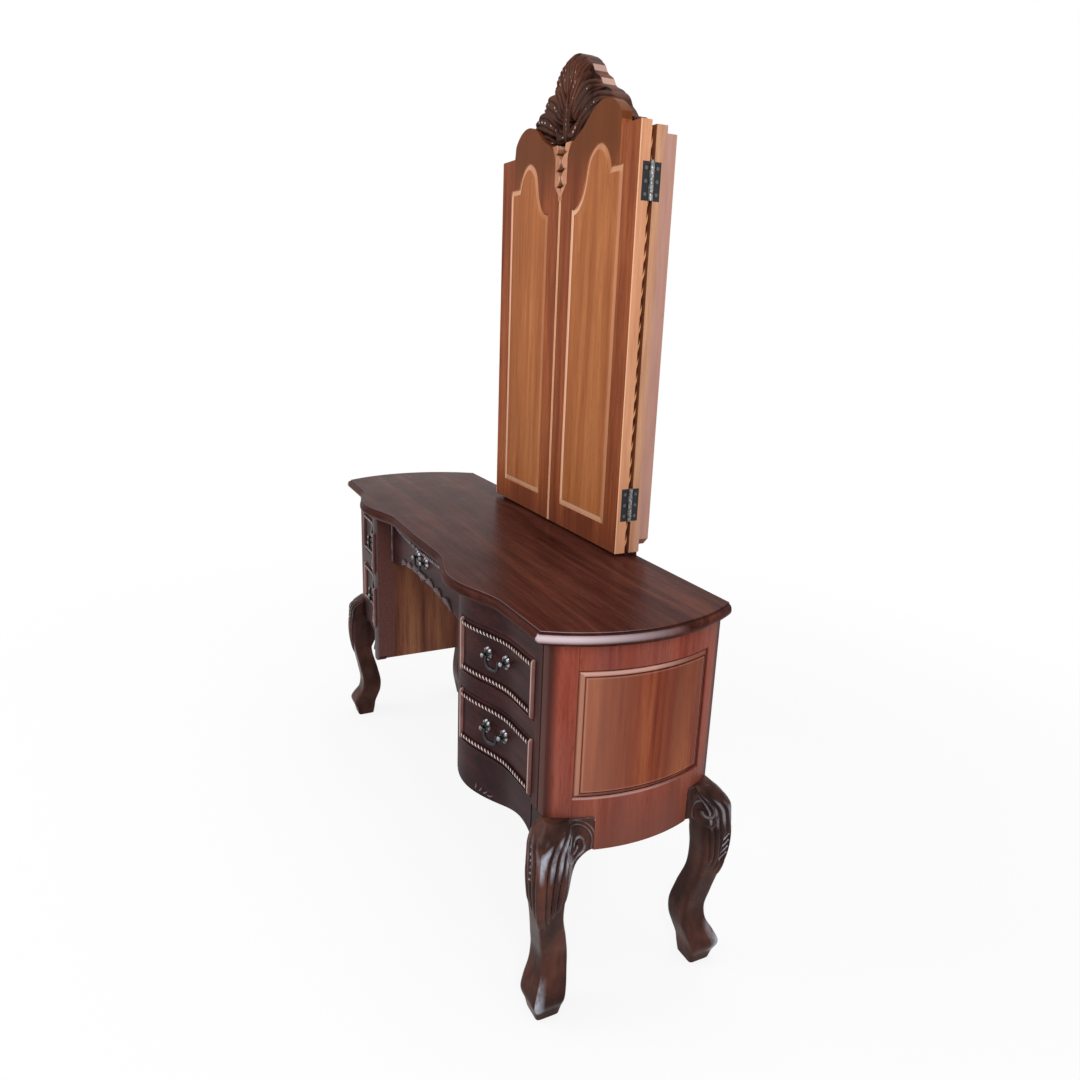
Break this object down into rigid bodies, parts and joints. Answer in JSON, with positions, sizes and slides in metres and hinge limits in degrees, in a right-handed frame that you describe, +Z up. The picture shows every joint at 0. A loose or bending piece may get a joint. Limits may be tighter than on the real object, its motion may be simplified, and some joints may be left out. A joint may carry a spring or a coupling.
{
  "type": "dressing table",
  "caption": "Kneehole dressing table on cabriole legs: bow-ended drawer pedestals, a recessed arched drawer between them and a folding mirror with hinged wings and a carved crest.",
  "frame": {"origin": "on the floor under the middle of the whole object", "axes": "+X along the table to the sitter's right, -Y out of the drawer fronts, +Z up"},
  "size_m": [1.394, 0.4678, 1.79],
  "materials": {
    "top_wood": "french polished dark mahogany, glossy",
    "dark_wood": "near-black stained mahogany, waxed",
    "end_wood": "red-brown streaked mahogany, polished",
    "side_wood": "orange-brown wood, satin",
    "inside_wood": "plain secondary wood, matt",
    "wing_wood": "reddish brown wood, satin",
    "panel_wood": "light tan-orange wood, satin",
    "mirror_glass": "silvered plate",
    "hinge_metal": "blackened, worn",
    "bright_metal": "bright, slightly worn",
    "pull_metal": "dark antique metal with grey highlights"
  },
  "bodies": {
    "table": {"table_top": "top_wood", "front_right_leg": "dark_wood", "front_left_leg": "dark_wood", "rear_right_leg": "dark_wood", "rear_left_leg": "dark_wood", "right_end_frame": "end_wood", "left_end_frame": "end_wood", "right_end_panel": "end_wood", "left_end_panel": "end_wood", "right_inner_side": "side_wood", "left_inner_side": "side_wood", "right_front_frame": "dark_wood", "left_front_frame": "dark_wood", "corner_posts": "dark_wood", "pedestal_bottoms": "dark_wood", "pedestal_backs": "inside_wood", "drawer_runners": "inside_wood", "kneehole_rail": "inside_wood", "mirror_plinth": "dark_wood", "mirror_supports": "inside_wood", "centre_frame": "dark_wood", "centre_glass": "mirror_glass", "centre_backboard": "inside_wood", "centre_moulding": "dark_wood", "crest": "dark_wood", "fixed_hinge_leaves": "hinge_metal", "hinge_pins": "bright_metal", "fixed_screws": "bright_metal"},
    "right_wing": {"right_wing_frame": "wing_wood", "right_wing_panel": "panel_wood", "right_wing_glass": "mirror_glass", "right_wing_moulding": "dark_wood", "right_wing_hinge_leaves": "hinge_metal", "right_wing_screws": "bright_metal"},
    "left_wing": {"left_wing_frame": "wing_wood", "left_wing_panel": "panel_wood", "left_wing_glass": "mirror_glass", "left_wing_moulding": "dark_wood", "left_wing_hinge_leaves": "hinge_metal", "left_wing_screws": "bright_metal"},
    "right_upper_drawer": {"right_upper_drawer_front": "dark_wood", "right_upper_drawer_box": "inside_wood", "right_upper_drawer_pull_mounts": "pull_metal"},
    "right_upper_bail": {"right_upper_drawer_bail": "pull_metal"},
    "right_lower_drawer": {"right_lower_drawer_front": "dark_wood", "right_lower_drawer_box": "inside_wood", "right_lower_drawer_pull_mounts": "pull_metal"},
    "right_lower_bail": {"right_lower_drawer_bail": "pull_metal"},
    "left_upper_drawer": {"left_upper_drawer_front": "dark_wood", "left_upper_drawer_box": "inside_wood", "left_upper_drawer_pull_mounts": "pull_metal"},
    "left_upper_bail": {"left_upper_drawer_bail": "pull_metal"},
    "left_lower_drawer": {"left_lower_drawer_front": "dark_wood", "left_lower_drawer_box": "inside_wood", "left_lower_drawer_pull_mounts": "pull_metal"},
    "left_lower_bail": {"left_lower_drawer_bail": "pull_metal"},
    "centre_drawer": {"centre_drawer_front": "dark_wood", "centre_drawer_box": "inside_wood", "centre_drawer_pull_mounts": "pull_metal"},
    "centre_bail": {"centre_drawer_bail": "pull_metal"}
  },
  "joints": [
    {"name": "right_wing_hinge", "type": "hinge", "parent": "table", "child": "right_wing", "pos_m": [0.319, 0.1739, 1.2], "axis": [0, 0, 1], "range_deg": [0, 170]},
    {"name": "left_wing_hinge", "type": "hinge", "parent": "table", "child": "left_wing", "pos_m": [-0.319, 0.1739, 1.2], "axis": [0, 0, -1], "range_deg": [0, 170]},
    {"name": "right_upper_drawer_slide", "type": "slide", "parent": "table", "child": "right_upper_drawer", "axis": [0, -1, 0], "range_m": [0, 0.24]},
    {"name": "right_upper_bail_hinge", "type": "hinge", "parent": "right_upper_drawer", "child": "right_upper_bail", "pos_m": [0.43753, -0.1863, 0.6285], "axis": [-0.9623, -0.2718, 0], "range_deg": [0, 80]},
    {"name": "right_lower_drawer_slide", "type": "slide", "parent": "table", "child": "right_lower_drawer", "axis": [0, -1, 0], "range_m": [0, 0.24]},
    {"name": "right_lower_bail_hinge", "type": "hinge", "parent": "right_lower_drawer", "child": "right_lower_bail", "pos_m": [0.43753, -0.1863, 0.4755], "axis": [-0.9623, -0.2718, 0], "range_deg": [0, 80]},
    {"name": "left_upper_drawer_slide", "type": "slide", "parent": "table", "child": "left_upper_drawer", "axis": [0, -1, 0], "range_m": [0, 0.24]},
    {"name": "left_upper_bail_hinge", "type": "hinge", "parent": "left_upper_drawer", "child": "left_upper_bail", "pos_m": [-0.43753, -0.1863, 0.6285], "axis": [-0.9623, 0.2718, 0], "range_deg": [0, 80]},
    {"name": "left_lower_drawer_slide", "type": "slide", "parent": "table", "child": "left_lower_drawer", "axis": [0, -1, 0], "range_m": [0, 0.24]},
    {"name": "left_lower_bail_hinge", "type": "hinge", "parent": "left_lower_drawer", "child": "left_lower_bail", "pos_m": [-0.43753, -0.1863, 0.4755], "axis": [-0.9623, 0.2718, 0], "range_deg": [0, 80]},
    {"name": "centre_drawer_slide", "type": "slide", "parent": "table", "child": "centre_drawer", "axis": [0, -1, 0], "range_m": [0, 0.22]},
    {"name": "centre_bail_hinge", "type": "hinge", "parent": "centre_drawer", "child": "centre_bail", "pos_m": [0, -0.189, 0.696], "axis": [-1, 0, 0], "range_deg": [0, 80]}
  ]
}
